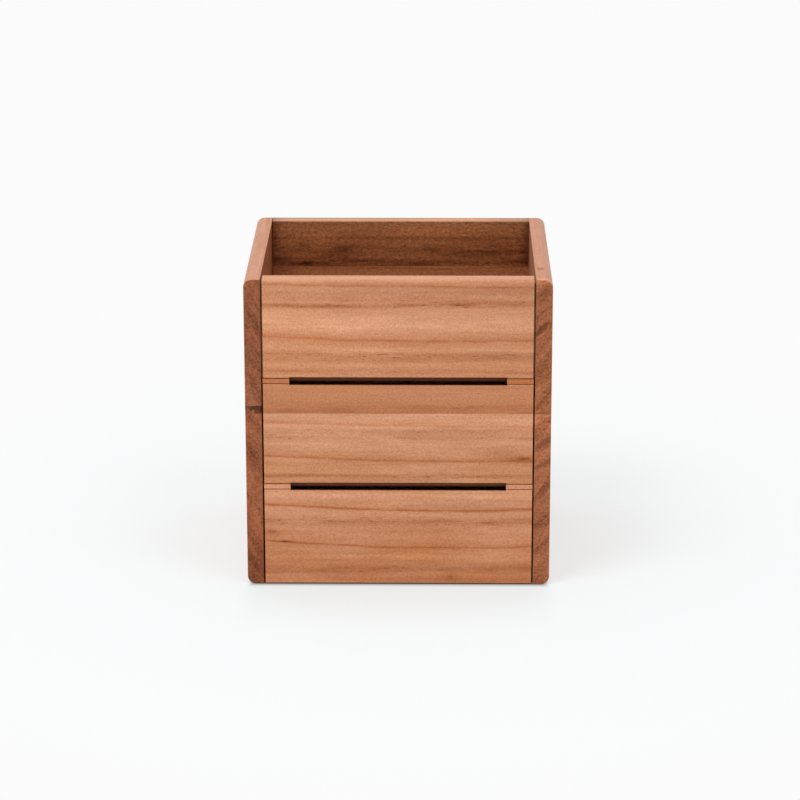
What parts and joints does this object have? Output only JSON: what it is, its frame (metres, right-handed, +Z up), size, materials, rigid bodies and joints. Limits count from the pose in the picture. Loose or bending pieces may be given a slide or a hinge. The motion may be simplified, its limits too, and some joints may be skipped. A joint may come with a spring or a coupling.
{
  "type": "pen stand with drawers",
  "caption": "Wooden desk pen stand: an open-topped box of planed boards with a deep pen well at the back, a tray in front of it and stacked drawers below, pulled by thin slots.",
  "frame": {"origin": "middle of the box's footprint, on the surface that it stands on", "axes": "+X to the right as seen from the front, +Y to the back, +Z up; the drawer fronts face -Y"},
  "size_m": [0.11, 0.092, 0.115],
  "materials": {
    "front_wood": "planed and finely sanded reddish hardwood, light oil, matt",
    "side_wood": "the same hardwood with its grain running front to back, end grain at the front edge, matt",
    "back_wood": "a darker streaky board of the same hardwood, matt",
    "inner_wood": "thin planed hardwood, matt",
    "drawer_box_wood": "planed hardwood drawer sides and backs, unoiled, matt",
    "drawer_bottom_wood": "thin wooden panel, unoiled, matt"
  },
  "bodies": {
    "case": {"left_side_upper_stave": "side_wood", "left_side_lower_stave": "side_wood", "right_side_upper_stave": "side_wood", "right_side_lower_stave": "side_wood", "back_upper_stave": "back_wood", "back_lower_stave": "back_wood", "front_rail": "front_wood", "upper_shelf": "inner_wood", "lower_shelf": "inner_wood", "base_panel": "inner_wood", "well_partition": "inner_wood"},
    "upper_drawer": {"upper_drawer_front_upper_stave": "front_wood", "upper_drawer_front_lower_stave": "front_wood", "upper_drawer_left_side": "drawer_box_wood", "upper_drawer_right_side": "drawer_box_wood", "upper_drawer_back": "drawer_box_wood", "upper_drawer_bottom": "drawer_bottom_wood"},
    "lower_drawer": {"lower_drawer_front": "front_wood", "lower_drawer_left_side": "drawer_box_wood", "lower_drawer_right_side": "drawer_box_wood", "lower_drawer_back": "drawer_box_wood", "lower_drawer_bottom": "drawer_bottom_wood"}
  },
  "joints": [
    {"name": "upper_drawer_slide", "type": "slide", "parent": "case", "child": "upper_drawer", "axis": [0, -1, 0], "range_m": [0, 0.038]},
    {"name": "lower_drawer_slide", "type": "slide", "parent": "case", "child": "lower_drawer", "axis": [0, -1, 0], "range_m": [0, 0.038]}
  ]
}
